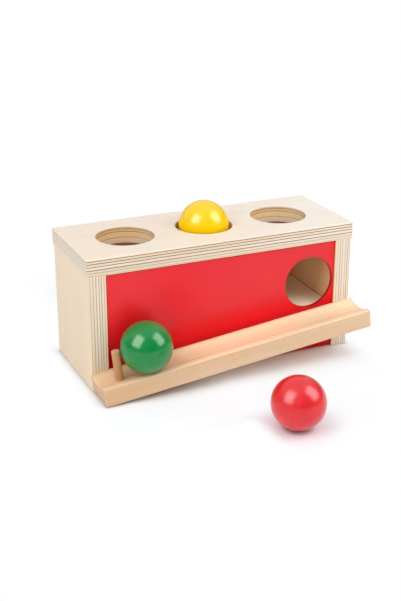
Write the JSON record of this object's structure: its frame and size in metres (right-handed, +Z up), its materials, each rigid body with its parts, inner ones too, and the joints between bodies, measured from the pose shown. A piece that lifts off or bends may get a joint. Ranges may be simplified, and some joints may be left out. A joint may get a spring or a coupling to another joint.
{
  "type": "object permanence box",
  "caption": "Plywood toy box with round drop holes in its lid, a red front panel with an exit hole, and a sloping coved gutter and stop peg that bring each wooden ball back.",
  "frame": {"origin": "on the floor, in the middle of the bottom board's under side", "axes": "+X along the box towards the exit hole, -Y towards the child at the front, +Z up"},
  "size_m": [0.2849, 0.2722, 0.157],
  "materials": {
    "birch_plywood": "sanded, clear matt lacquer",
    "thin_plywood": "sanded, clear matt lacquer",
    "red_paint": "satin paint",
    "beech": "sanded, clear satin lacquer",
    "beech_dowel": "sanded, clear satin lacquer",
    "soft_rubber": "matt",
    "yellow_lacquer": "gloss lacquer",
    "green_lacquer": "gloss lacquer",
    "red_lacquer": "gloss lacquer"
  },
  "bodies": {
    "box": {"lid": "birch_plywood", "left_wall": "birch_plywood", "right_wall": "birch_plywood", "front_panel": "red_paint", "back_panel": "thin_plywood", "bottom_board": "thin_plywood", "ball_ramp": "thin_plywood", "left_ramp_cleat": "beech", "right_ramp_cleat": "beech", "left_hole_ring": "soft_rubber", "middle_hole_ring": "soft_rubber", "right_hole_ring": "soft_rubber", "gutter": "beech", "stop_peg": "beech_dowel", "lid_dowels": "beech_dowel", "gutter_dowels": "beech_dowel"},
    "yellow_ball": {"yellow_ball": "yellow_lacquer"},
    "green_ball": {"green_ball": "green_lacquer"},
    "red_ball": {"red_ball": "red_lacquer"}
  },
  "joints": [
    {"name": "yellow_ball_drop", "type": "slide", "parent": "box", "child": "yellow_ball", "axis": [0, 0, -1], "range_m": [-0.03, 0.0535], "deforming": ["middle_hole_ring"]},
    {"name": "green_ball_roll", "type": "slide", "parent": "box", "child": "green_ball", "axis": [0.9936, 0, 0.1132], "range_m": [0, 0.1875]},
    {"name": "red_ball_roll", "type": "slide", "parent": "box", "child": "red_ball", "axis": [1, 0, 0], "range_m": [-0.1, 0.1]}
  ]
}
